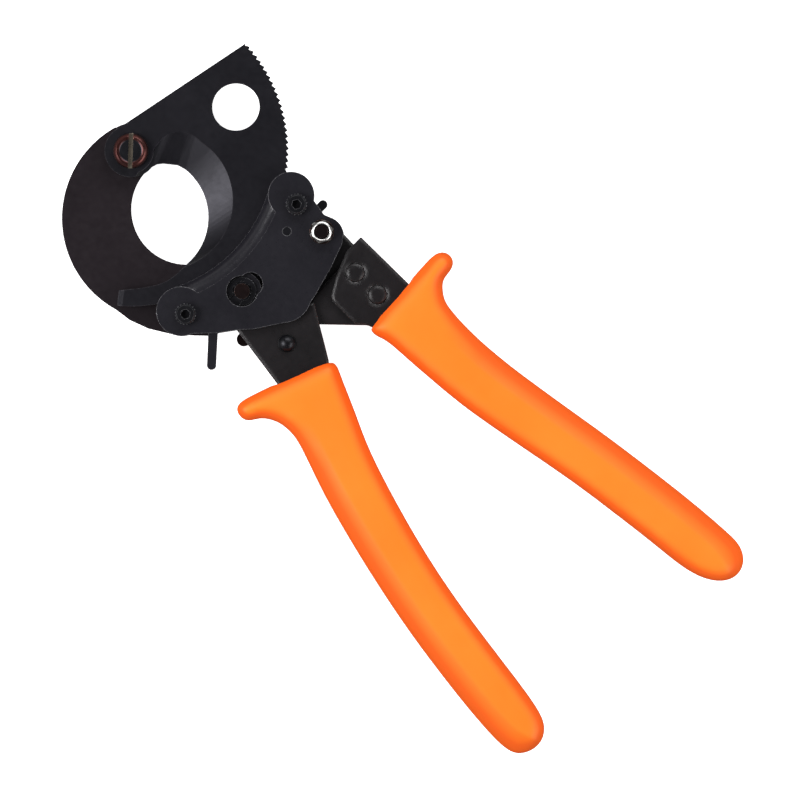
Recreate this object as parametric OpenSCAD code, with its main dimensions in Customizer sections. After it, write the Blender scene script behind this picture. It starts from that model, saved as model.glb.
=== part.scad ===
// Ratcheting cable cutter, lying on its back. Millimetres, +Z up.
// The origin is on the blade pivot axis, in the plane that the tool rests on.
// +X runs from the blade pivot towards the grip ends, +Y towards the moving handle.

/* [Blades] */
// Thickness of each blade
blade_t = 4.5; // [4.3:0.1:4.6]
// Radius over the tips of the ratchet teeth
tooth_r = 53.2; // [53:0.1:53.3]
// Depth of a ratchet tooth
tooth_h = 0.9; // [0.5:0.1:1]
// Angle from one tooth to the next
tooth_pitch = 2.25; // [2.25:0.25:2.5]
// Radius of the hanging hole in the moving blade
hang_r = 8; // [6:0.5:8.5]
// Radius of the blade pivot screw's shank
pivot_r = 4; // [3:0.5:4.5]

/* [Plates] */
// Thickness of the front and back plates
plate_t = 2; // [1.5:0.1:2]
// Radius of the front plate's lower lobe
lobe_r = 8.3; // [8:0.1:9]

/* [Handles] */
// Wall of the pressed handle channels
wall = 1.6; // [1.4:0.1:1.6]
// Thickness of both grips
grip_t = 21; // [20:0.5:21]
// Outset of the grip's rounding, seen from the front
grip_round = 5; // [3:0.5:6]

/* [Fit] */
// Radial clearance of a turning fit
running = 0.05; // [0.03:0.01:0.08]

/* [Hidden] */
$fn = 96;
eps = 0.01;

// Levels, from the resting plane up
mid_z = 10;
blade_gap = 0.3;
fixed_z = mid_z - blade_gap / 2 - blade_t;
moving_z = mid_z + blade_gap / 2;
moving_top = moving_z + blade_t;
back_z = fixed_z - plate_t;
rim_z = moving_top + 0.35;
front_z = rim_z + 1.3;
front_top = front_z + plate_t;
arm_z = fixed_z + 0.3;
arm_top = front_z - 0.35;
arm_t = arm_top - arm_z;
lever_z = arm_z + wall + 0.35;
lever_thin = mid_z - 0.05 - lever_z;
lever_t = arm_top - wall - 0.45 - lever_z;
pawl_z = mid_z + 0.3;
pawl_t = 3.7;
release_z = arm_top - 1.5;
release_t = 1.5;

// Places of the axes
hang = [14.5, 35.5];
upper_screw = [52.3, 26.7];
lower_screw = [52, -25.8];
hinge = [64.8, 26.2];
pawl_axis = [56.4, 18];
drive_axis = [72, 10];
release_axis = [59.9, -6.9];
arm_rivet = [83, -8.6];
lever_rivet_1 = [82.4, 24.5];
lever_rivet_2 = [93, 24.5];

// Cutting edges and the outer limits of their ground bevels: centre, radius
edge_c = [19.5, -12];
edge_r = 20.7;
grind_c = [19.5, -4];
grind_r = 23.4;
hook_c = [24.3, -7.6];
hook_r = 35.2;
jaw_c = [27, -0.5];
jaw_r = 18.5;
boss_r = 9.5;

// A point on a circle about the blade pivot
function polar(r, a) = [r * cos(a), r * sin(a)];
// Points along a circular arc
function arc(c, r, a0, a1, n) = [for (i = [0 : n]) c + polar(r, a0 + (a1 - a0) * i / n)];
// A smooth curve through points, open or closed
function blend_point(a, b, c, d, t) =
    0.5 * (2 * b + (c - a) * t + (2 * a - 5 * b + 4 * c - d) * t * t + (3 * b - a - 3 * c + d) * t * t * t);
function closed_curve(p, n) = let (m = len(p))
    [for (i = [0 : m - 1], k = [0 : n - 1])
        blend_point(p[(i + m - 1) % m], p[i], p[(i + 1) % m], p[(i + 2) % m], k / n)];
function open_curve(p, n) = let (m = len(p))
    [for (i = [0 : m - 2], k = [0 : n - 1])
        blend_point(p[max(i - 1, 0)], p[i], p[i + 1], p[min(i + 2, m - 1)], k / n)];

module at(p, z = 0) {
    translate([p[0], p[1], z]) children();
}

module slab(z, t) {
    translate([0, 0, z]) linear_extrude(t) children();
}

module rod(p, r, z0, z1) {
    at(p, z0) cylinder(r = r, h = z1 - z0);
}

module hex(p, across, z0, z1) {
    at(p, z0) cylinder(r = across / sqrt(3), h = z1 - z0, $fn = 6);
}

// ---- blades ----

first_tooth = 88;
last_tooth = -33;
tooth_count = round((first_tooth - last_tooth) / tooth_pitch);
// Each tooth has a steep face on its lower side and a long ramp above it
teeth = [for (i = [0 : tooth_count - 1], k = [0 : 1])
    let (a = first_tooth - i * tooth_pitch)
    k == 0 ? polar(tooth_r - tooth_h, a) : polar(tooth_r, a - 0.75 * tooth_pitch)];
tail_inner = open_curve([[30.4, -36], [35.4, -29.8], [38.6, -24.8], [40.1, -19.8], [40.3, -13.3]], 4);
// The cutting edge turns in towards the pivot boss at its inner end
edge_end = [[14.5, 7.8], [12.6, 6.3], [10.5, 4.6], [9.3, 3], [8.7, 1]];
edge_line = concat(arc(edge_c, edge_r, -3.6, 96, 22), edge_end);
// The limit of the ground bevel on the front face, with a tighter arc near the pivot
grind_end_c = [13.5, 9.8];
grind_end_r = 9;
grind_line = concat(arc(grind_c, grind_r, -70, 92, 36), arc(grind_end_c, grind_end_r, 100, 180, 10),
    [[6, 0], [9, -12]]);
blade_end_r = 8.8;
tail_end = [32.3, -38.5];
tail_end_angle = -142;
tail_ramp = 1.8;

module moving_blade() {
    color("#2b2b30") difference() {
        union() {
            slab(moving_z, blade_t) polygon(concat(
                [[1.7, tooth_r - 0.2]], teeth, arc([0, 0], tooth_r - tooth_h, last_tooth - 1, -50, 8),
                tail_inner, edge_line, [[0, -2], polar(blade_end_r - 0.1, 169.5)]));
            rod([0, 0], blade_end_r, moving_z, moving_top);
        }
        rod([0, 0], pivot_r + running, 0, 30);
        rod(hang, hang_r, 0, 30);
        // ground bevel on the front
        difference() {
            hull() {
                slab(moving_z - 0.01, 0.3) offset(delta = -0.1) polygon(concat(
                    arc(edge_c, edge_r, -60, 96, 32), edge_end, [[8.7, -6]]));
                slab(moving_top, 0.5) polygon(grind_line);
            }
            rod([0, 0], blade_end_r - 1.2, 0, 30);
        }
        // shallow ramp at the end of the tail
        at(tail_end, moving_top) rotate(tail_end_angle) translate([-tail_ramp, -6, 0])
            rotate([0, 8, 0]) cube([10, 12, 5]);
    }
}

module fixed_blade() {
    color("#2c2728") difference() {
        union() {
            slab(fixed_z, blade_t) difference() {
                union() {
                    translate(hook_c) circle(r = hook_r, $fn = 160);
                    polygon([[34, -41.4], [39.9, -40.6], [46.4, -38.2], [53.2, -34], [58.8, -29], [62.8, -25.2], [65, -21],
                        [65, 1], [46, 3], [34, -30]]);
                }
                translate([-20, 2]) square([100, 60]);
            }
            rod([0, 0], boss_r, fixed_z, fixed_z + blade_t);
        }
        rod([0, 0], pivot_r, 0, 30);
        rod(lower_screw, 2.05, 0, 30);
        rod(release_axis, 1.5, 0, 30);
        difference() {
            hull() {
                at(jaw_c, fixed_z + blade_t - 0.3) cylinder(r = jaw_r, h = 0.5, $fn = 64);
                at(jaw_c + [1, -2], fixed_z - 0.5) cylinder(r = jaw_r + 3.5, h = 0.5, $fn = 64);
            }
            rod([0, 0], boss_r - 1, 0, 30);
        }
        rod(jaw_c, jaw_r, 0, 30);
    }
}

// ---- plates ----

rim_r = 53;
rim_top = 24.6;
rim_low = -22.4;
upper_lobe = [48.7, 27.7];
upper_lobe_r = 7.75;
lower_lobe = [50.2, -26.2];

// A side plate without its holes
module plate_blank(z) {
    difference() {
        slab(z, plate_t) polygon(concat(
            [[50, 30], [54, 32], [57.6, 31.4], [61.3, 30.8]],
            arc([66.4, 26], 6.4, 110, 55, 6),
            [[72.6, 28], [73.5, 25.3], [75.4, 20.2], [76.8, 15], [78.2, 10]],
            arc([70.2, 2.2], 9.8, 28, -42, 8),
            [[74, -9.6], [71.7, -13.2], [68.4, -16.7], [64, -22.7], [57.7, -29.3], [53, -33.8], [44, -30]]));
        translate([0, 0, z - 1]) cylinder(r = rim_r, h = plate_t + 2, $fn = 180);
    }
    lobes(z, z + plate_t);
}

module lobes(z0, z1, inset = 0) {
    rod(upper_lobe, upper_lobe_r - inset, z0, z1);
    rod(lower_lobe, lobe_r - inset, z0, z1);
}

// The rolled rim that reaches down over the teeth; its outer part is buried in the plate and the lobes
module rim() {
    difference() {
        rotate(rim_low - 3) rotate_extrude(angle = rim_top - rim_low + 6) polygon([
            [rim_r + 0.6, front_z + 0.3], [rim_r - 1.2, front_z - 0.2], [rim_r - 2.1, front_z - 0.6],
            [rim_r - 2.7, rim_z], [rim_r - 4.8, rim_z], [rim_r - 4.3, rim_z + 0.9], [rim_r - 3.7, rim_z + 1.7],
            [rim_r - 3, rim_z + 2.35], [rim_r - 2.3, rim_z + 2.82], [rim_r - 1.6, rim_z + 3.1],
            [rim_r - 0.8, rim_z + 3.24], [rim_r + 0.05, front_top - 0.02], [rim_r + 0.6, front_top - 0.2]]);
        lobes(0, 30, 0.3);
    }
}

module front_plate() {
    color("#242428") difference() {
        union() {
            plate_blank(front_z);
            rim();
        }
        rod(upper_screw, 2.05, 0, 30);
        rod(lower_screw, 2.05, 0, 30);
        rod(hinge, 2.5, 0, 30);
        rod(pawl_axis, 1.5, 0, 30);
        rod(release_axis, 5.2, 0, 30);
        rod(release_axis + [0.5, 3.8], 4, 0, 30);
    }
}

module back_plate() {
    color("#242428") difference() {
        plate_blank(back_z);
        rod(upper_screw, 2.05, 0, 30);
        rod(lower_screw, 2.05, 0, 30);
        rod(hinge, 2.5, 0, 30);
        rod(pawl_axis, 1.5, 0, 30);
        rod(release_axis, 1.5, 0, 30);
    }
}

// A socket-cap screw with a knurled head
module cap_screw(p) {
    difference() {
        union() {
            at(p, front_top) linear_extrude(2.6) union() {
                circle(r = 3.35);
                for (i = [0 : 19]) rotate(i * 18) translate([3.35, 0]) circle(r = 0.28, $fn = 8);
            }
            at(p, front_top + 2.6) cylinder(r1 = 3.35, r2 = 2.9, h = 0.5);
            rod(p, 2, 1.2, front_top + 0.1);
        }
        hex(p, 3, front_top + 1, 30);
    }
}

module plate_screws() {
    color("#1d1d20") {
        cap_screw(upper_screw);
        cap_screw(lower_screw);
    }
}

// A hexagon nut with chamfered corners, threaded on a shank
module nut(p, across, bore, z0, z1) {
    difference() {
        intersection() {
            hex(p, across, z0, z1);
            at(p, z0 - 2) cylinder(r1 = across / 2 - 1.6, r2 = across / 2 + 1.2, h = 2.8 + 2);
        }
        rod(p, bore, z0 - 1, z1 + 1);
    }
}

module plate_nuts() {
    color("#1d1d20") {
        nut(upper_screw, 7, 2, back_z - 2.6, back_z);
        nut(lower_screw, 7, 2, back_z - 2.6, back_z);
    }
}

module sleeve(p, outer, inner, z0, z1) {
    difference() {
        rod(p, outer, z0, z1);
        rod(p, inner, z0 - 1, z1 + 1);
    }
}

module upper_spacer() {
    color("#5a5a5e") sleeve(upper_screw, 3, 2, back_z + plate_t, front_z);
}

module lower_spacer() {
    color("#5a5a5e") sleeve(lower_screw, 3, 2, tang_top, front_z);
}

// ---- blade pivot ----

head_r = 5.9;

module blade_pivot_screw() {
    color("#5b2f22") difference() {
        union() {
            rod([0, 0], pivot_r, 1, moving_top + 0.2);
            at([0, 0], moving_top + 0.1) rotate_extrude() polygon([
                [0, 0], [head_r, 0], [head_r, 1.6], [head_r - 0.35, 2.5], [head_r - 1.2, 3.1],
                [head_r - 1.9, 3], [head_r - 2.3, 2.7], [0, 2.7]]);
        }
        rotate(-47) translate([-8, -0.75, moving_top + 1.5]) cube([16, 1.5, 4]);
    }
}

module blade_pivot_washer() {
    color("#6a6a6e") sleeve([0, 0], 8, pivot_r, fixed_z - 1.2, fixed_z);
}

module blade_pivot_nut() {
    color("#3a3a3e") difference() {
        hex([0, 0], 13, 0, fixed_z - 1.2);
        rod([0, 0], pivot_r, 1, 10);
    }
}

// ---- handle hinge ----

module handle_pivot_bolt() {
    color("#4a3a34") {
        rod(hinge, 2.5, back_z - 0.1, front_top + 2.9);
        at(hinge, front_top + 2.9) cylinder(r1 = 2.5, r2 = 2, h = 0.5);
        hex(hinge, 8, back_z - 2.6, back_z);
    }
}

module handle_pivot_washer() {
    color("#7a4332") sleeve(hinge, 4.1, 2.5, front_top, front_top + 0.6);
}

module handle_pivot_nut() {
    color("#d8d8d8") difference() {
        union() {
            hex(hinge, 7, front_top + 0.6, front_top + 2.4);
            at(hinge, front_top + 2.3) rotate_extrude() polygon([
                [2, 0], [3.5, 0], [3.5, 1], [3.3, 1.5], [2.9, 1.7], [2.6, 1.5], [2.5, 1]]);
        }
        rod(hinge, 2.5, 0, 40);
    }
}

module hinge_sleeves() {
    color("#5a5a5e") {
        sleeve(hinge, 4.5, 2.5, back_z + plate_t, lever_z - 0.05);
        sleeve(hinge, 3.3, 2.5, mid_z, front_z);
    }
}

// ---- moving handle ----

module lever_plate() {
    color("#1c1a1c") difference() {
        union() {
            slab(lever_z, lever_thin) union() {
                translate(hinge) circle(r = 5);
                polygon([[62, 30.4], [66, 31.1], [82, 30.6], [82, 9], [76, 4.5], [71, 6.4], [68.2, 10], [60.5, 23.8]]);
                translate(drive_axis) circle(r = 3.6);
            }
            slab(lever_z, lever_t) polygon([[77.4, 30.6], [110, 32], [110, 23], [97.6, 14.6], [84.9, 2.4], [78.2, 7]]);
        }
        rod(hinge, 2.5 + running, 0, 30);
        rod(drive_axis, 1.5, 0, 30);
        rod(lever_rivet_1, 2, 0, 30);
        rod(lever_rivet_2, 2, 0, 30);
    }
}

// Channel outlines, seen from the front; the web is along the outer edge
moving_arm_outer = [[75.3, 34.3], [97.2, 34.5], [112, 34.5], [157, 37.4], [186, 41.6]];
moving_arm_inner = [[186, 31], [157, 25.6], [110, 19.2], [97, 14.6], [94.6, 12.3], [84.3, 12.3], [82.4, 13],
    [79, 18.6], [75.3, 27.2]];
fixed_arm_outer = [[67.8, -17.4], [90.3, -20.6], [101, -23.6], [121, -29], [149, -36.8], [183, -44]];
fixed_arm_inner = [[183, -33.8], [149, -26], [120, -17], [104, -9.5], [97, -2.8], [92.2, 0.1], [85.7, 3.9],
    [79.8, 7.4], [74.5, 3], [71, -6]];

module moving_handle() {
    color("#26262a") difference() {
        channel_body(moving_arm_outer, moving_arm_inner, 1);
        for (p = [lever_rivet_1, lever_rivet_2]) {
            rod(p, 3.1, 0, 30);
            at(p, arm_top - 0.3) cylinder(r1 = 3.1, r2 = 3.5, h = 0.31);
        }
    }
}

module fixed_handle() {
    color("#2a2829") difference() {
        channel_body(fixed_arm_outer, fixed_arm_inner, -1);
        rod(arm_rivet, 2, 0, 30);
    }
}

// Two flanges joined by the web along the outer edge
module channel_body(outer, inner, side) {
    web_in = [for (i = [len(outer) - 1 : -1 : 0]) outer[i] - [0, side * wall * 1.1]];
    slab(arm_z, wall) polygon(concat(outer, inner));
    slab(arm_top - wall, wall) polygon(concat(outer, inner));
    slab(arm_z + wall - eps, arm_t - 2 * wall + 2 * eps) polygon(concat(outer, web_in));
}

module lever_rivets() {
    color("#303034") for (p = [lever_rivet_1, lever_rivet_2]) {
        rod(p, 3.1, arm_z - 0.2, arm_z + wall);
        rod(p, 2, arm_z + wall - 0.1, arm_top - wall + 0.1);
        rod(p, 3.1, arm_top - wall, arm_top - 0.1);
        at(p, arm_top - 0.1) cylinder(r1 = 3.1, r2 = 2.8, h = 0.25);
    }
}

moving_grip_line = [[96.9, 44], [97.2, 48.6], [99.4, 51], [102.6, 50.9], [104.5, 48.4], [105, 44], [107.6, 41],
    [112.5, 38.6], [125.6, 38], [141, 39.2], [160, 42], [185, 46], [213, 49.6], [232, 51.2], [239.5, 50.9],
    [244.2, 47.6], [245.3, 42.2], [241.3, 36.6], [232, 32.7], [213, 30.4], [185, 26.6], [157, 21.4], [139, 18.4],
    [120, 16.7], [107, 15.8], [101.5, 14.2], [99.1, 15], [98.2, 22], [97.6, 33]];
fixed_grip_line = [[98.9, -1.9], [95.8, -5.5], [92.6, -14], [89.4, -22.5], [86.1, -32.5], [86.3, -36],
    [89.2, -37.3], [92.2, -36.4], [94.8, -32.4], [99.5, -29.6], [104.5, -28.9], [110.7, -29.9], [129, -36.1],
    [148, -41.2], [167, -45.5], [185, -48.8], [204, -51.4], [219, -52.9], [230, -53.2], [235.6, -51.5],
    [238.4, -46.5], [237.8, -41.4], [233.4, -37.2], [223, -34.8], [204, -32.2], [185, -29.4], [167, -25.8],
    [148, -20.8], [129, -14.7], [114, -8.1], [105, -4.2]];
grip_steps = 4;

// A moulded grip with rounded sides, built up in slices that shrink towards both faces
module grip_body(line) {
    half = grip_t / 2;
    for (i = [0 : grip_steps]) {
        a = 90 * i / (grip_steps + 0.6);
        h = half - grip_round + grip_round * sin(a);
        slab(half - h, 2 * h) offset(delta = -grip_round * (1 - cos(a))) polygon(closed_curve(line, 3));
    }
}

module moving_grip() {
    color("#ff8c32") difference() {
        grip_body(moving_grip_line);
        slab(arm_z, arm_t) polygon(concat(moving_arm_outer, moving_arm_inner));
    }
}

module fixed_grip() {
    color("#ff8c32") difference() {
        grip_body(fixed_grip_line);
        slab(arm_z, arm_t) polygon(concat(fixed_arm_outer, fixed_arm_inner));
    }
}

// ---- fixed handle's fastening ----

tang_z = mid_z - 0.05;
tang_top = arm_top - wall - 0.05;

module tang_plate() {
    color("#302c2c") difference() {
        union() {
            rod(lower_screw, 4, tang_z, tang_top);
            slab(tang_z, tang_top - tang_z) polygon([[53, -22.6], [63, -14.6], [70, -9], [82, -4.2], [88, -5.5],
                [88, -13], [68.5, -14.6], [66.8, -16], [66.2, -18.2], [62, -22.6], [53, -29]]);
        }
        rod(lower_screw, 2, 0, 30);
        rod(arm_rivet, 2, 0, 30);
    }
}

module handle_rivet() {
    color("#55555a") {
        rod(arm_rivet, 2, arm_z - 0.1, arm_top + 0.1);
        at(arm_rivet, arm_top) rotate_extrude() polygon(concat([[0, 0], [3.05, 0]], arc([0, -0.9], 3.2, 20, 90, 8)));
        rod(arm_rivet, 3, arm_z - 1.3, arm_z);
    }
}

module stop_pin() {
    color("#6b3a30") {
        rod([71.6, -18], 2.4, arm_z - 2.4, arm_z);
        at([71.6, -18], arm_z - 2.4) rotate_extrude() polygon([[0, 0], [2.4, 0], [2.1, -0.7], [1.3, -1.2], [0, -1.4]]);
    }
}

// ---- ratchet ----

hold_tip = polar(tooth_r + 0.35, 12.4);

module holding_pawl() {
    pawl_top = pawl_z + pawl_t;
    color("#1a1a1c") difference() {
        union() {
            rod(pawl_axis, 3, pawl_z, pawl_top);
            slab(pawl_z, pawl_t) polygon([hold_tip, hold_tip + [1.5, -0.3], [57.4, 12.4], [58.6, 16.6], [58.4, 19],
                [60.1, 24], [60, 33], [57, 33], [57.2, 24], [54.6, 19.4], [53.6, 17.4], [53, 14.2]]);
            rod([58.5, 33], 1.5, pawl_z, pawl_top);
        }
        rod(pawl_axis, 1.5 + running, 0, 30);
    }
}

module pawl_pin() {
    color("#2a2426") {
        rod(pawl_axis, 1.5, back_z, front_top - 0.15);
        rod(pawl_axis, 2.6, back_z + plate_t, pawl_z - 0.05);
    }
}

// Torsion spring on the holding pawl's pin
spring_turns = 2.5;
spring_steps = 16;
wire_r = 0.3;
spring_r = 2.3;
spring_z0 = pawl_z + pawl_t + 0.4;
spring_rise = 0.62;
spring_path = concat(
    [for (i = [0 : spring_turns * spring_steps])
        let (a = 360 * i / spring_steps + 60)
        [pawl_axis[0] + spring_r * cos(a), pawl_axis[1] + spring_r * sin(a),
            spring_z0 + spring_rise * i / spring_steps]]);

// A tube of six sides swept along a path
module wire(path, r) {
    n = len(path);
    function along(i) = path[min(i + 1, n - 1)] - path[max(i - 1, 0)];
    function side(i) = let (t = along(i), s = cross(t, [0, 0, 1])) s / norm(s);
    points = [for (i = [0 : n - 1], k = [0 : 5]) path[i] + r * (side(i) * cos(60 * k) + [0, 0, 1] * sin(60 * k))];
    faces = concat(
        [[for (k = [0 : 5]) k]],
        [[for (k = [5 : -1 : 0]) (n - 1) * 6 + k]],
        [for (i = [0 : n - 2], k = [0 : 5]) [i * 6 + k, (i + 1) * 6 + k, (i + 1) * 6 + (k + 1) % 6, i * 6 + (k + 1) % 6]]);
    polyhedron(points, faces);
}

module pawl_spring() {
    color("#8a8a90") wire(spring_path, wire_r);
}

drive_tip = polar(tooth_r + 0.4, -11);

module drive_pawl() {
    color("#1a1a1c") difference() {
        slab(pawl_z, pawl_t) union() {
            translate(drive_axis) circle(r = 3);
            polygon([drive_tip, drive_tip + [1.7, 0.1], [58.4, -3.2], [64, 3.6], [70.6, 7.3], [70.4, 12.5],
                [61.5, 6], [55.8, -1.6], [53.6, -8]]);
        }
        rod(drive_axis, 1.5 + running, 0, 30);
    }
}

module drive_pawl_pin() {
    color("#2a2426") {
        rod(drive_axis, 1.5, lever_z, pawl_z + pawl_t);
        rod(drive_axis, 2.3, pawl_z + pawl_t + 0.05, pawl_z + pawl_t + 0.9);
        rod(drive_axis, 1.5, pawl_z + pawl_t - 0.1, pawl_z + pawl_t + 0.1);
    }
}

module release_lever() {
    color("#3c3c40") difference() {
        slab(release_z, release_t) union() {
            translate(release_axis) circle(r = 6.6);
            polygon([[57, -9], [58.4, -21.2], [69.15, -32.85], [71.45, -30.75], [61.7, -20], [62.6, -9]]);
            translate([70.3, -31.8]) circle(r = 1.56);
        }
        rod(release_axis, 2.55 + running, 0, 30);
    }
}

module release_pin() {
    color("#3a2e2c") {
        rod(release_axis, 1.5, back_z, release_z);
        rod(release_axis, 2.55, release_z - 0.4, release_z + release_t + 0.1);
        rod(release_axis, 1.9, release_z + release_t, release_z + release_t + 1);
        rod(release_axis, 2.55, release_z + release_t + 0.9, front_top - 0.2);
    }
}

module e_clip() {
    color("#1f1f22") slab(release_z + release_t + 0.12, 0.7) difference() {
        circle_at(release_axis, 4.8);
        circle_at(release_axis, 3.2);
        translate(release_axis) rotate(-80) translate([0, -1.9]) square([6, 3.8]);
    }
    color("#1f1f22") slab(release_z + release_t + 0.12, 0.7) for (a = [20, 100, 180])
        translate(release_axis) rotate(a) translate([1.9, -0.6]) square([1.5, 1.2]);
}

module circle_at(p, r) {
    translate(p) circle(r = r);
}

moving_blade();
fixed_blade();
front_plate();
back_plate();
plate_screws();
plate_nuts();
upper_spacer();
lower_spacer();
blade_pivot_screw();
blade_pivot_washer();
blade_pivot_nut();
handle_pivot_bolt();
handle_pivot_washer();
handle_pivot_nut();
hinge_sleeves();
lever_plate();
moving_handle();
lever_rivets();
moving_grip();
tang_plate();
fixed_handle();
handle_rivet();
fixed_grip();
stop_pin();
holding_pawl();
pawl_pin();
pawl_spring();
drive_pawl();
drive_pawl_pin();
release_lever();
release_pin();
e_clip();
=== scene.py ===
# %% [markdown]
# # Ratcheting cable cutter
# The metal parts come from the imported CAD model and keep their exact shape. Blender adds what a
# drawing leaves out: broken edges, the black finish of the steel, corners painted bright as wear and as a
# painted highlight, and the two moulded grips.

# %% Load the frame
import math

import bmesh
import bpy
import numpy as np
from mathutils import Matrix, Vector


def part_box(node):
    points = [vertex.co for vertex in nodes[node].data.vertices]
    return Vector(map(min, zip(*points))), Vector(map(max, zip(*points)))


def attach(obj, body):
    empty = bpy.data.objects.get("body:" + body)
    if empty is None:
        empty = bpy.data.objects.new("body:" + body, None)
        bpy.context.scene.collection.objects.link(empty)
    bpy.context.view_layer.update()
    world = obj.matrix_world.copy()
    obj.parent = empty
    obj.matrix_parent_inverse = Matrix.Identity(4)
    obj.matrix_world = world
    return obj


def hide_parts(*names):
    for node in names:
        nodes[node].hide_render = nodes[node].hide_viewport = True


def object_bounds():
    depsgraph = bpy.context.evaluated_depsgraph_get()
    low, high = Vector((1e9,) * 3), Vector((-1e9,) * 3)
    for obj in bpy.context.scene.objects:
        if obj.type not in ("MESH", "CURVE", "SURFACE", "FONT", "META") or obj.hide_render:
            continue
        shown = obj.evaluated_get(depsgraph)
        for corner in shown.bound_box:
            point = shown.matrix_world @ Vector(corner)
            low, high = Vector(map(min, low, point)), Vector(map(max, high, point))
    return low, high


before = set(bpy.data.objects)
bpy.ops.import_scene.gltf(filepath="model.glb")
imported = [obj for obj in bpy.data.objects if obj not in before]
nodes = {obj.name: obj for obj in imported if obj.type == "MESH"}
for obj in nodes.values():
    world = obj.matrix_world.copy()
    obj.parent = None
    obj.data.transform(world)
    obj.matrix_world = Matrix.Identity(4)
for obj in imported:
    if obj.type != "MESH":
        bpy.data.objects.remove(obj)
cad_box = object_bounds()
scene = bpy.context.scene
MM = 0.001
print("pieces from CAD:", len(nodes), "box in mm:", [round(v / MM, 1) for v in cad_box[1] - cad_box[0]])

# %% [markdown]
# ## Camera
# The cutter lies on its back and is seen from straight above through a long lens. The tool's own
# X axis runs to the lower right of the picture, so the camera is turned by 45 degrees about the vertical.

# %% Camera
field_w = 269.6 * MM
look_at = Vector((123.4 * MM, 4.8 * MM, 12 * MM))
lens_mm = 400
sensor_mm = 36
picture_turn = math.radians(45)
camera_data = bpy.data.cameras.new("camera")
camera_data.lens = lens_mm
camera_data.sensor_width = sensor_mm
camera_data.clip_start = 10 * MM
camera = bpy.data.objects.new("camera", camera_data)
camera_height = field_w * lens_mm / sensor_mm
camera.location = look_at + Vector((0, 0, camera_height))
camera.rotation_euler = (0, 0, picture_turn)
scene.collection.objects.link(camera)
scene.camera = camera
print("camera height in mm:", round(camera_height / MM))

# %% [markdown]
# ## Light
# Polished black steel shows what stands around it. Flat faces turned to the camera should stay dark, so
# nothing bright hangs right above them. Large soft boxes stand at the sides, and only bevels, rolled rims
# and screw heads catch them.

# %% Light
light_distance = 0.9


def soft_box(name, azimuth, elevation, width, height, power):
    """A rectangular light that faces the middle of the tool; azimuth and elevation are in degrees."""
    data = bpy.data.lights.new(name, "AREA")
    data.shape = "RECTANGLE"
    data.size = width
    data.size_y = height
    data.energy = power
    light = bpy.data.objects.new(name, data)
    a, e = math.radians(azimuth), math.radians(elevation)
    away = Vector((math.cos(a) * math.cos(e), math.sin(a) * math.cos(e), math.sin(e)))
    light.location = look_at + away * light_distance
    light.rotation_euler = away.to_track_quat("Z", "Y").to_euler()
    scene.collection.objects.link(light)


soft_box("left_light", 228, 42, 0.55, 0.5, 7.2)
soft_box("top_light", 125, 38, 0.8, 0.4, 5.0)
soft_box("right_light", 20, 36, 0.8, 0.4, 4.2)
print("soft boxes:", len(bpy.data.lights))

# %% [markdown]
# ## Surroundings
# The steel also mirrors the room. A flat grey world would lift every black face by the same amount, so this
# one is a Color Ramp over height: a band of light around the horizon, and dark overhead and below. Faces
# that look straight up mirror the dark part, and steep ones mirror the band.

# %% Surroundings
# Each pair is a height, from 0 straight below to 1 straight overhead, and the brightness there
sky_bands = ((0.0, 0.12), (0.47, 0.3), (0.5, 0.85), (0.56, 0.8), (0.66, 0.3), (0.92, 0.1))
world = bpy.data.worlds.new("studio")
scene.world = world
world.use_nodes = True
tree = world.node_tree
direction = tree.nodes.new("ShaderNodeTexCoord")
split = tree.nodes.new("ShaderNodeSeparateXYZ")
fade = tree.nodes.new("ShaderNodeValToRGB")
while len(fade.color_ramp.elements) < len(sky_bands):
    fade.color_ramp.elements.new(0.5)
for element, (position, value) in zip(fade.color_ramp.elements, sky_bands):
    element.position = position
    element.color = (value, value, value, 1)
height = tree.nodes.new("ShaderNodeMapRange")
height.inputs["From Min"].default_value = -1.0
height.inputs["From Max"].default_value = 1.0
tree.links.new(direction.outputs["Generated"], split.inputs[0])
tree.links.new(split.outputs["Z"], height.inputs["Value"])
tree.links.new(height.outputs["Result"], fade.inputs["Fac"])
tree.links.new(fade.outputs["Color"], tree.nodes["Background"].inputs["Color"])
scene.view_settings.view_transform = "Standard"
print("sky bands:", len(fade.color_ramp.elements))

# %% [markdown]
# ## Floor
# The tool lies on a plain pale sheet. A sheet lit only by the soft boxes would be grey at its edges, so this
# one also glows a little, which keeps it even. It gives the steel no reflection and the grips no bounce,
# and steep faces stay deep in tone.

# %% Floor
floor_half = 1.5
floor_gap = 0.2 * MM
floor_grey = 0.93
floor_glow = 0.95
floor_z = cad_box[0].z - floor_gap
corners = [(x * floor_half, y * floor_half, floor_z) for x, y in ((-1, -1), (1, -1), (1, 1), (-1, 1))]
floor_mesh = bpy.data.meshes.new("floor")
floor_mesh.from_pydata(corners, [], [(0, 1, 2, 3)])
floor = bpy.data.objects.new("floor", floor_mesh)
scene.collection.objects.link(floor)
floor_material = bpy.data.materials.new("pale_floor")
floor_material.use_nodes = True
floor_shader = floor_material.node_tree.nodes["Principled BSDF"]
floor_shader.inputs["Base Color"].default_value = (floor_grey, floor_grey, floor_grey, 1)
floor_shader.inputs["Roughness"].default_value = 0.9
floor_shader.inputs["Specular IOR Level"].default_value = 0.1
floor_shader.inputs["Emission Color"].default_value = (1, 1, 1, 1)
floor_shader.inputs["Emission Strength"].default_value = floor_glow
floor_mesh.materials.append(floor_material)
floor.visible_glossy = False
floor.visible_diffuse = False
print("floor under the tool in mm:", round(floor_z / MM, 2))

# %% [markdown]
# ## Helpers for shader nodes
# A small class keeps the node code short: it adds a node, sets its values and links what is given.

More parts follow.
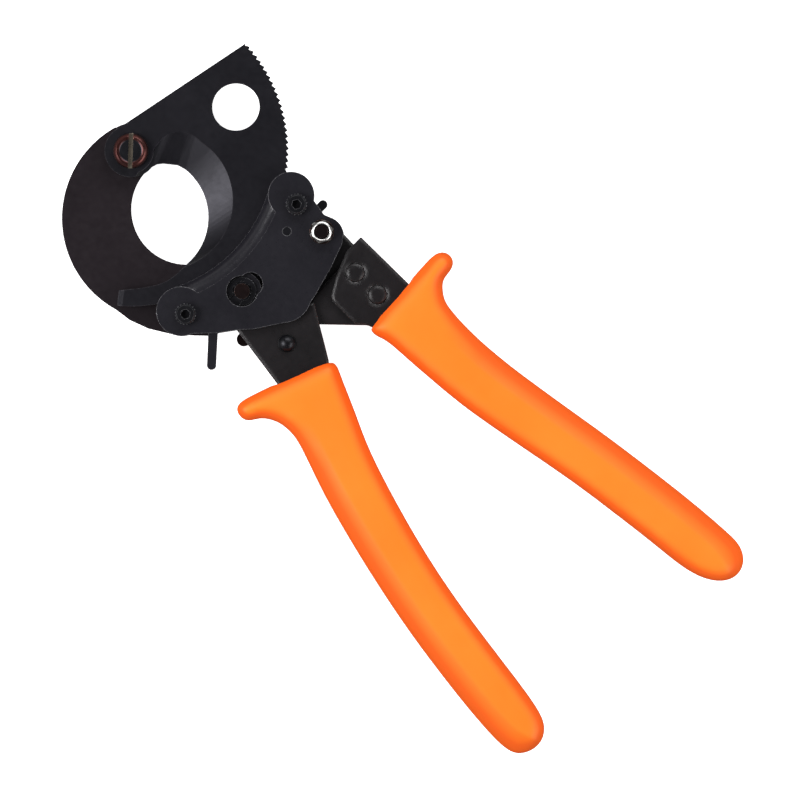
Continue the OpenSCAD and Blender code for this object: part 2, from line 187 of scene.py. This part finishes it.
# %% Node helper
class Graph:
    """Adds nodes to one tree. A value that is a socket is linked, anything else is set."""

    def __init__(self, tree):
        self.tree = tree

    def link(self, source, target):
        self.tree.links.new(source, target)

    def add(self, kind, values=None, **settings):
        node = self.tree.nodes.new(kind)
        for key, value in settings.items():
            setattr(node, key, value)
        for key, value in (values or {}).items():
            if isinstance(value, bpy.types.NodeSocket):
                self.link(value, node.inputs[key])
            else:
                node.inputs[key].default_value = value
        return node

    def math(self, operation, a, b=0.0, clamp=False):
        return self.add("ShaderNodeMath", {0: a, 1: b}, operation=operation, use_clamp=clamp).outputs[0]

    def noise(self, vector, scale, detail, rough):
        values = {"Vector": vector, "Scale": scale, "Detail": detail, "Roughness": rough}
        return self.add("ShaderNodeTexNoise", values).outputs["Fac"]

    def ramp(self, value, low, high):
        """Turns low to high into 0 to 1; low may be the larger of the two."""
        values = {"Value": value, "From Min": low, "From Max": high}
        return self.add("ShaderNodeMapRange", values, clamp=True).outputs["Result"]

    def spread(self, value, low, high):
        """Turns 0 to 1 into low to high."""
        values = {"Value": value, "To Min": low, "To Max": high}
        return self.add("ShaderNodeMapRange", values).outputs["Result"]

    def mix(self, fac, a, b):
        """Blends two colours, a where fac is 0 and b where it is 1."""
        return self.add("ShaderNodeMix", {0: fac, 6: a, 7: b}, data_type="RGBA").outputs[2]

    def normal(self):
        return self.add("ShaderNodeNewGeometry").outputs["Normal"]

    def place(self):
        return self.add("ShaderNodeTexCoord").outputs["Object"]


def new_group(name, inputs, outputs):
    """A shader node group with the named sockets, and its graph, input node and output node."""
    group = bpy.data.node_groups.new(name, "ShaderNodeTree")
    for label, kind, default in inputs:
        socket = group.interface.new_socket(label, in_out="INPUT", socket_type=kind)
        socket.default_value = default
    for label, kind in outputs:
        group.interface.new_socket(label, in_out="OUTPUT", socket_type=kind)
    graph = Graph(group)
    return group, graph, graph.add("NodeGroupInput"), graph.add("NodeGroupOutput")


def new_material(name):
    """A material with nodes, its graph and its Principled BSDF."""
    material = bpy.data.materials.new(name)
    material.use_nodes = True
    return material, Graph(material.node_tree), material.node_tree.nodes["Principled BSDF"]


def colour(r, g, b):
    """A colour given as screen values from 0 to 255, turned into the linear values that shaders use."""
    def linear(v):
        v = v / 255
        return v / 12.92 if v <= 0.04045 else ((v + 0.055) / 1.055) ** 2.4
    return (linear(r), linear(g), linear(b), 1.0)


print("screen grey 128 as a linear value:", round(colour(128, 128, 128)[0], 3))

# %% [markdown]
# ## Edge wear and painted edge highlight, shared by all the metal
# A blackened edge rubs through first, and an edge turned to a lamp shines; the mask paints both, so its
# bare tone is partly real wear and partly a painted highlight. The Bevel node rounds the normal near an
# edge;
# where the rounded normal and the true one disagree there is an edge. Noise breaks the line up, so wear
# never looks drawn on.

# %% Edge wear and painted highlight group
def make_edge_wear_and_sheen():
    group, g, inputs, outputs = new_group(
        "edge_wear_and_sheen",
        [("Width", "NodeSocketFloat", 0.4 * MM), ("Amount", "NodeSocketFloat", 0.6),
         ("Breakup", "NodeSocketFloat", 900.0)],
        [("Mask", "NodeSocketFloat")])
    place = g.place()
    rounded = g.add("ShaderNodeBevel", {"Radius": inputs.outputs["Width"]}, samples=6).outputs[0]
    agreement = g.add("ShaderNodeVectorMath", {0: rounded, 1: g.normal()}, operation="DOT_PRODUCT")
    edge = g.ramp(agreement.outputs["Value"], 0.995, 0.80)
    grit = g.noise(place, inputs.outputs["Breakup"], 5.0, 0.65)
    broken = g.math("MULTIPLY", edge, g.ramp(grit, 0.36, 0.62))
    # The mask marks worn edges and also paints the highlight that lit edges would show
    g.link(g.math("MULTIPLY", broken, inputs.outputs["Amount"], clamp=True), outputs.inputs["Mask"])
    return group


edge_wear_and_sheen = make_edge_wear_and_sheen()
print("edge wear nodes:", len(edge_wear_and_sheen.nodes))

# %% [markdown]
# ## Fine surface unevenness
# One group gives three scales of noise: broad clouds for colour, a middle scale for gloss and a fine
# grain for the bump. Every material places it with its own scale and strength.

# %% Uneven surface group
def make_uneven():
    group, g, inputs, outputs = new_group(
        "uneven_surface",
        [("Clouds", "NodeSocketFloat", 60.0), ("Grain", "NodeSocketFloat", 2500.0),
         ("Bump", "NodeSocketFloat", 0.1), ("Rolled", "NodeSocketVector", (0, 0, 1))],
        [("Cloud", "NodeSocketFloat"), ("Gloss", "NodeSocketFloat"), ("Normal", "NodeSocketVector")])
    place = g.place()
    clouds = inputs.outputs["Clouds"]
    cloud = g.noise(place, clouds, 3.0, 0.55)
    middle = g.noise(place, g.math("MULTIPLY", clouds, 9.0), 4.0, 0.6)
    grain = g.noise(place, inputs.outputs["Grain"], 2.0, 0.5)
    bump = g.add("ShaderNodeBump", {"Strength": inputs.outputs["Bump"], "Distance": 0.2 * MM,
                                    "Height": grain, "Normal": inputs.outputs["Rolled"]})
    g.link(g.ramp(cloud, 0.3, 0.7), outputs.inputs["Cloud"])
    g.link(g.ramp(middle, 0.2, 0.8), outputs.inputs["Gloss"])
    g.link(bump.outputs["Normal"], outputs.inputs["Normal"])
    return group


uneven = make_uneven()
print("uneven surface nodes:", len(uneven.nodes))

# %% [markdown]
# ## Metal finishes
# All the steel goes through one function: a dark and a light tint that clouds blend, a range of gloss,
# and a bare tone on the edges that is partly real wear and partly a painted edge highlight. Oxide is treated
# as a dark dielectric skin over metal, so its metallic value is partial.

# %% Metal finish function
def metal(name, dark, light, bare_and_lit, gloss, metallic, wear=0.5, wear_and_sheen_width=0.35, bend=0.0, bump=0.06):
    """A steel finish; bend is the radius in mm of the soft roll at a pressed corner."""
    material, g, shader = new_material(name)
    if bend > 0:
        normal = g.add("ShaderNodeBevel", {"Radius": bend * MM}, samples=8).outputs[0]
    else:
        normal = g.normal()
    surface = g.add("ShaderNodeGroup", node_tree=uneven)
    surface.inputs["Clouds"].default_value = 60.0
    surface.inputs["Grain"].default_value = 2500.0
    surface.inputs["Bump"].default_value = bump
    g.link(normal, surface.inputs["Rolled"])
    worn_and_lit_edges = g.add("ShaderNodeGroup", node_tree=edge_wear_and_sheen)
    worn_and_lit_edges.inputs["Width"].default_value = wear_and_sheen_width * MM
    worn_and_lit_edges.inputs["Amount"].default_value = wear
    tint = g.mix(surface.outputs["Cloud"], dark, light)
    # Edges turn to the bare tone: real wear, and also a painted edge highlight
    g.link(g.mix(worn_and_lit_edges.outputs["Mask"], tint, bare_and_lit), shader.inputs["Base Color"])
    g.link(g.spread(surface.outputs["Gloss"], *gloss), shader.inputs["Roughness"])
    g.link(g.spread(worn_and_lit_edges.outputs["Mask"], metallic, 1.0), shader.inputs["Metallic"])
    g.link(surface.outputs["Normal"], shader.inputs["Normal"])
    return material


# %% [markdown]
# ## The steels of this tool
# The moving blade is blued, the fixed jaw has browned a little, and the plates, screws and pressed channels
# are blackened, and their corners are painted bright, partly as wear and partly as a painted highlight. Some
# pins are brown, one nut is plated bright, and the spacers, the sleeves and the spring were left plain. Each
# finish is a call of the same function with its own tints and gloss, so the pieces stay related.

# %% Steels
# The bare tone and the wear amount of each call set a painted edge highlight as well as the wear
blade_finish = metal("blued_blade", colour(25, 24, 30), colour(33, 32, 38), colour(130, 128, 134),
                     gloss=(0.33, 0.45), metallic=0.65, wear=0.7)
jaw_finish = metal("browned_jaw", colour(29, 22, 27), colour(37, 30, 35), colour(110, 100, 102),
                   gloss=(0.3, 0.42), metallic=0.5, wear=0.6)
plate_finish = metal("blackened_plate", colour(24, 23, 29), colour(32, 31, 37), colour(185, 183, 188),
                     gloss=(0.25, 0.34), metallic=0.2, wear=1.0)
screw_finish = metal("black_screw", colour(24, 24, 28), colour(34, 34, 39), colour(175, 175, 180),
                     gloss=(0.28, 0.4), metallic=0.7, wear=1.0, wear_and_sheen_width=0.3)
handle_finish = metal("blackened_channel", colour(25, 23, 25), colour(34, 31, 33), colour(160, 156, 158),
                      gloss=(0.25, 0.35), metallic=0.25, wear=0.9, wear_and_sheen_width=0.3, bend=2.2)
copper_finish = metal("brown_pin", colour(32, 24, 25), colour(46, 31, 30), colour(150, 116, 104),
                      gloss=(0.26, 0.4), metallic=0.8, wear=0.6, wear_and_sheen_width=0.3)
bright_finish = metal("bright_zinc", colour(190, 188, 186), colour(222, 220, 216), colour(250, 250, 250),
                      gloss=(0.2, 0.32), metallic=1.0, wear=0.3, wear_and_sheen_width=0.2)
inner_finish = metal("plain_steel", colour(95, 95, 97), colour(125, 125, 126), colour(180, 180, 182),
                     gloss=(0.3, 0.45), metallic=1.0, wear=0.3, wear_and_sheen_width=0.2)
print("materials so far, with the CAD model's own:", len(bpy.data.materials))

# %% [markdown]
# ## The pivot screw
# This screw carries three tones on one head: a coppery rim, a flat gunmetal centre and a slot that
# screwdrivers have scraped bare. Cutting the head into three pieces would leave seams, so the tones are
# masks instead, made from each point's distance to the axis and to the slot's line.

# %% Pivot screw finish
slot_angle = math.radians(-47)
slot_half = (0.65 * MM, 0.8 * MM)
centre_radius = (3.6 * MM, 4.1 * MM)


def make_pivot_finish():
    """The inner value of each pair is where the tone is full, and the outer one is where it has gone."""
    material = metal("pivot_screw", colour(58, 32, 32), colour(84, 46, 42), colour(170, 130, 118),
                     gloss=(0.22, 0.36), metallic=0.85, wear=0.7, wear_and_sheen_width=0.3)
    g = Graph(material.node_tree)
    place = g.add("ShaderNodeSeparateXYZ", {0: g.place()})
    x, y = place.outputs["X"], place.outputs["Y"]
    radius = g.math("SQRT", g.math("ADD", g.math("MULTIPLY", x, x), g.math("MULTIPLY", y, y)))
    centre = g.ramp(radius, centre_radius[1], centre_radius[0])
    across = g.math("ADD", g.math("MULTIPLY", x, -math.sin(slot_angle)),
                    g.math("MULTIPLY", y, math.cos(slot_angle)))
    slot = g.ramp(g.math("ABSOLUTE", across), slot_half[1], slot_half[0])
    shader = material.node_tree.nodes["Principled BSDF"]
    rim = shader.inputs["Base Color"].links[0].from_socket
    face = g.mix(centre, rim, colour(44, 45, 50))
    g.link(g.mix(slot, face, colour(150, 140, 126)), shader.inputs["Base Color"])
    return material


pivot_finish = make_pivot_finish()
print("pivot screw nodes:", len(pivot_finish.node_tree.nodes))

# %% [markdown]
# ## The metal pieces
# The CAD edges are mathematically sharp. Real ones are tumbled or pressed, so each piece gets a narrow
# bevel modifier. It leaves the CAD mesh itself alone.

# %% Bevel and finish of each metal piece
weld_distance = 0.01 * MM
sharp_edge = math.radians(35)


def break_edges(node, width):
    """Welds the CAD mesh, rounds its sharp edges by width (mm) and shades it smooth between them."""
    weld = node.modifiers.new("weld", "WELD")
    weld.merge_threshold = weld_distance
    bevel = node.modifiers.new("bevel", "BEVEL")
    bevel.width = width * MM
    bevel.segments = 2
    bevel.limit_method = "ANGLE"
    bevel.angle_limit = sharp_edge
    bevel.harden_normals = False
    normal = node.modifiers.new("normals", "WEIGHTED_NORMAL")
    normal.keep_sharp = True


# The finish of each piece, and the width in mm of its broken edges; the round spring wire has none
finishes = {
    "moving_blade": (blade_finish, 0.2), "fixed_blade": (jaw_finish, 0.2),
    "front_plate": (plate_finish, 0.22), "back_plate": (plate_finish, 0.22),
    "plate_screws": (screw_finish, 0.08), "plate_nuts": (screw_finish, 0.1),
    "upper_spacer": (inner_finish, 0.1), "lower_spacer": (inner_finish, 0.1),
    "blade_pivot_screw": (pivot_finish, 0.12), "blade_pivot_washer": (inner_finish, 0.12),
    "blade_pivot_nut": (screw_finish, 0.2), "handle_pivot_bolt": (copper_finish, 0.15),
    "handle_pivot_washer": (copper_finish, 0.1), "handle_pivot_nut": (bright_finish, 0.12),
    "hinge_sleeves": (inner_finish, 0.1), "lever_plate": (handle_finish, 0.2),
    "moving_handle": (handle_finish, 0.25), "lever_rivets": (handle_finish, 0.12),
    "tang_plate": (handle_finish, 0.2), "fixed_handle": (handle_finish, 0.25),
    "handle_rivet": (screw_finish, 0.1), "stop_pin": (copper_finish, 0.12),
    "holding_pawl": (screw_finish, 0.2), "pawl_pin": (screw_finish, 0.1),
    "pawl_spring": (inner_finish, 0.0), "drive_pawl": (screw_finish, 0.2),
    "drive_pawl_pin": (screw_finish, 0.1), "release_lever": (plate_finish, 0.2),
    "release_pin": (copper_finish, 0.12), "e_clip": (screw_finish, 0.1),
}
for name, (finish, width) in finishes.items():
    node = nodes[name]
    node.data.materials.clear()
    node.data.materials.append(finish)
    if width > 0:
        break_edges(node, width)
    else:
        node.data.shade_smooth()
print("metal pieces finished:", len(finishes))

# %% [markdown]
# ## Grip material
# The grips are moulded soft PVC: one strong orange, an even low gloss, and a very faint unevenness like
# the skin of a fruit. The clouds vary the orange a little. A deeper orange is painted where the surface
# turns away from straight up: painted shade on the sloping sides.

# %% Grip material
# How far a face turns from straight up where the painted shade starts, and where it is full
unshaded_facing = 0.99
fully_shaded_facing = 0.75


def make_grip_material():
    material, g, shader = new_material("orange_pvc")
    surface = g.add("ShaderNodeGroup", node_tree=uneven)
    surface.inputs["Clouds"].default_value = 35.0
    surface.inputs["Grain"].default_value = 700.0
    surface.inputs["Bump"].default_value = 0.05
    g.link(g.normal(), surface.inputs["Rolled"])
    facing = g.add("ShaderNodeSeparateXYZ", {0: g.normal()}).outputs["Z"]
    # Painted shade: the orange deepens as the surface turns away from straight up
    turned_shade = g.ramp(g.math("ABSOLUTE", facing), unshaded_facing, fully_shaded_facing)
    tint = g.mix(surface.outputs["Cloud"], colour(255, 122, 25), colour(255, 131, 33))
    g.link(g.mix(turned_shade, tint, colour(250, 98, 12)), shader.inputs["Base Color"])
    g.link(g.spread(surface.outputs["Gloss"], 0.46, 0.56), shader.inputs["Roughness"])
    shader.inputs["Specular IOR Level"].default_value = 0.3
    g.link(surface.outputs["Normal"], shader.inputs["Normal"])
    return material


grip_material = make_grip_material()
print("grip material nodes:", len(grip_material.node_tree.nodes))

# %% [markdown]
# ## The moulded grips
# In CAD a grip is a stack of slices. Here a copy of it is filled and rebuilt on a fine grid of voxels, and
# the steps are smoothed away. A subdivision surface would need a clean cage first, and voxels don't.

# %% Fill and smooth a grip
voxel_size = 0.7 * MM
smoothing_rounds = 14


def voxel_mesh(obj):
    """A new mesh of obj, filled and rebuilt on an even grid."""
    remesh = obj.modifiers.new("remesh", "REMESH")
    remesh.mode = "VOXEL"
    remesh.voxel_size = voxel_size
    bpy.context.view_layer.update()
    mesh = bpy.data.meshes.new_from_object(obj.evaluated_get(bpy.context.evaluated_depsgraph_get()))
    obj.modifiers.clear()
    return mesh


def smooth_steps(mesh):
    """Moves every point halfway to the middle of its neighbours, round after round."""
    bm = bmesh.new()
    bm.from_mesh(mesh)
    for _ in range(smoothing_rounds):
        bmesh.ops.smooth_vert(
            bm, verts=bm.verts, factor=0.5, use_axis_x=True, use_axis_y=True, use_axis_z=True)
    bm.to_mesh(mesh)
    bm.free()


# %% [markdown]
# ## The facet along the outer side
# The real grip slopes off along the outside of the hand, in a long facet with a soft shoulder. Its edge
# curves with the grip, so no straight cut would follow it. The script finds the outer edge in short
# slices, draws a smooth line through them, and thins the grip by its distance to that line.

# %% Press the facet
slice_length = 2 * MM
slices_averaged = 7
facet_depth, facet_press, facet_curve = 7.5 * MM, 0.32, 1.2
shoulder_depth, shoulder_press = 15 * MM, 0.07
fade_start, fade_length = 16 * MM, 20 * MM


def outer_edge(co, start, outer_sign):
    """How far out the grip's edge lies beside each point, as a smooth line along X."""
    bins = np.round((co[:, 0] - start) / slice_length).astype(int)
    reach = np.full(bins.max() + 1, -1e9)
    np.maximum.at(reach, bins, co[:, 1] * outer_sign)
    padded = np.pad(reach, slices_averaged // 2, mode="edge")
    reach = np.convolve(padded, np.ones(slices_averaged) / slices_averaged, mode="valid")
    return np.interp(co[:, 0], start + slice_length * np.arange(len(reach)), reach)


def press_facet(mesh, low, high, outer_sign):
    """Thins the outer side towards the middle plane, fading in behind the finger guard."""
    co = np.empty(len(mesh.vertices) * 3)
    mesh.vertices.foreach_get("co", co)
    co = co.reshape(-1, 3)
    depth = outer_edge(co, low.x, outer_sign) - co[:, 1] * outer_sign
    facet = np.clip(1 - depth / facet_depth, 0, 1) ** facet_curve
    shoulder = np.clip(1 - depth / shoulder_depth, 0, 1)
    fade_in = np.clip((co[:, 0] - low.x - fade_start) / fade_length, 0, 1)
    press = (facet_press * facet + shoulder_press * shoulder) * fade_in
    middle = (low.z + high.z) / 2
    co[:, 2] = middle + (co[:, 2] - middle) * (1 - press)
    mesh.vertices.foreach_set("co", co.ravel())
    mesh.update()


# %% [markdown]
# ## Both grips
# Each grip rides the body of its handle and stands in for the CAD node. The outer side faces +Y on the
# moving grip and -Y on the fixed one.

# %% Build the grips
def make_grip(name, node_name, body, outer_sign):
    low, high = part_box(node_name)
    grip = bpy.data.objects.new(name, nodes[node_name].data.copy())
    scene.collection.objects.link(grip)
    grip.data = voxel_mesh(grip)
    smooth_steps(grip.data)
    press_facet(grip.data, low, high, outer_sign)
    grip.data.materials.clear()
    grip.data.materials.append(grip_material)
    grip.data.shade_smooth()
    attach(grip, body)
    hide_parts(node_name)
    print(name, "faces:", len(grip.data.polygons))


make_grip("moulded_moving_grip", "moving_grip", "handle", 1)
make_grip("moulded_fixed_grip", "fixed_grip", "frame", -1)
